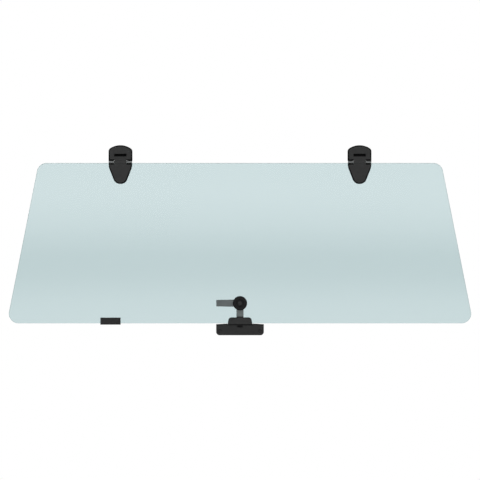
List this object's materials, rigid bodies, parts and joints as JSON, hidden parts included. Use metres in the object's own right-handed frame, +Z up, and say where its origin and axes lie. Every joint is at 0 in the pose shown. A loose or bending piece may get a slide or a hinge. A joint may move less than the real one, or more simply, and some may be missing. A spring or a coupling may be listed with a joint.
{
  "type": "top-hinged glass window panel",
  "caption": "Tinted trapezoid glass panel on capped top hinges, with a lever that draws a sliding bolt out of a keeper at its foot.",
  "frame": {"origin": "centre of the rectangle of four hinge studs, on the mounting plane of the surrounding panel", "axes": "+X along the hinge line towards the side without the edge buffer, +Y into the surrounding panel along the studs, +Z up; the sash's foot swings towards -Y"},
  "size_m": [1.203, 0.0545, 0.494],
  "materials": {
    "tinted_glass": "clear",
    "black_moulding": "fine texture",
    "black_nylon": "satin",
    "white_nylon": "satin",
    "black_casting": "powder coat",
    "grey_steel": "satin",
    "zinc_steel": "bright zinc",
    "black_rubber": "matte",
    "brass": "machined"
  },
  "bodies": {
    "frame_side": {"left_frame_bracket": "black_casting", "left_bracket_gasket": "black_rubber", "left_frame_cap": "black_moulding", "right_frame_bracket": "black_casting", "right_bracket_gasket": "black_rubber", "right_frame_cap": "black_moulding", "frame_studs": "zinc_steel", "keeper": "black_moulding", "strike": "zinc_steel", "keeper_inserts": "brass"},
    "sash": {"glass_pane": "tinted_glass", "hinge_washers": "black_nylon", "clamp_screws": "zinc_steel", "clamp_washers": "zinc_steel", "clamp_nuts": "zinc_steel", "glass_bushes": "white_nylon", "latch_body": "black_casting", "latch_gasket": "black_rubber", "latch_inner_gasket": "black_rubber", "latch_bush": "white_nylon", "latch_washer": "zinc_steel", "latch_nut": "zinc_steel", "bolt_guide": "black_moulding", "guide_liner": "black_rubber", "clamp_pad": "zinc_steel", "grub_screws": "zinc_steel", "edge_buffer": "black_rubber", "buffer_spring": "zinc_steel", "left_hinge_pin": "zinc_steel", "left_glass_leaf": "grey_steel", "left_leaf_gasket": "black_rubber", "left_inner_gasket": "black_rubber", "left_back_plate": "zinc_steel", "left_glass_cap": "black_moulding", "right_hinge_pin": "zinc_steel", "right_glass_leaf": "grey_steel", "right_leaf_gasket": "black_rubber", "right_inner_gasket": "black_rubber", "right_back_plate": "zinc_steel", "right_glass_cap": "black_moulding"},
    "lever": {"spindle": "zinc_steel", "spindle_clip": "zinc_steel", "lever": "grey_steel", "knob": "black_nylon", "knob_screw": "zinc_steel", "knob_plug": "black_moulding"},
    "bolt": {"lock_bolt": "grey_steel", "drive_pin": "zinc_steel", "bolt_nose": "black_nylon"}
  },
  "joints": [
    {"name": "sash_swing", "type": "hinge", "parent": "frame_side", "child": "sash", "pos_m": [0, -0.0176, -0.024], "axis": [-1, 0, 0], "range_deg": [0, 80]},
    {"name": "lever_turn", "type": "hinge", "parent": "sash", "child": "lever", "pos_m": [0, -0.0231, -0.3909], "axis": [0, 1, 0], "range_deg": [0, 90]},
    {"name": "bolt_slide", "type": "slide", "parent": "sash", "child": "bolt", "axis": [0, 0, 1], "range_m": [0, 0.005]}
  ],
  "couplings": [
    {"joint": "bolt_slide", "follows": "lever_turn", "m_per_rad": 0.003183}
  ]
}
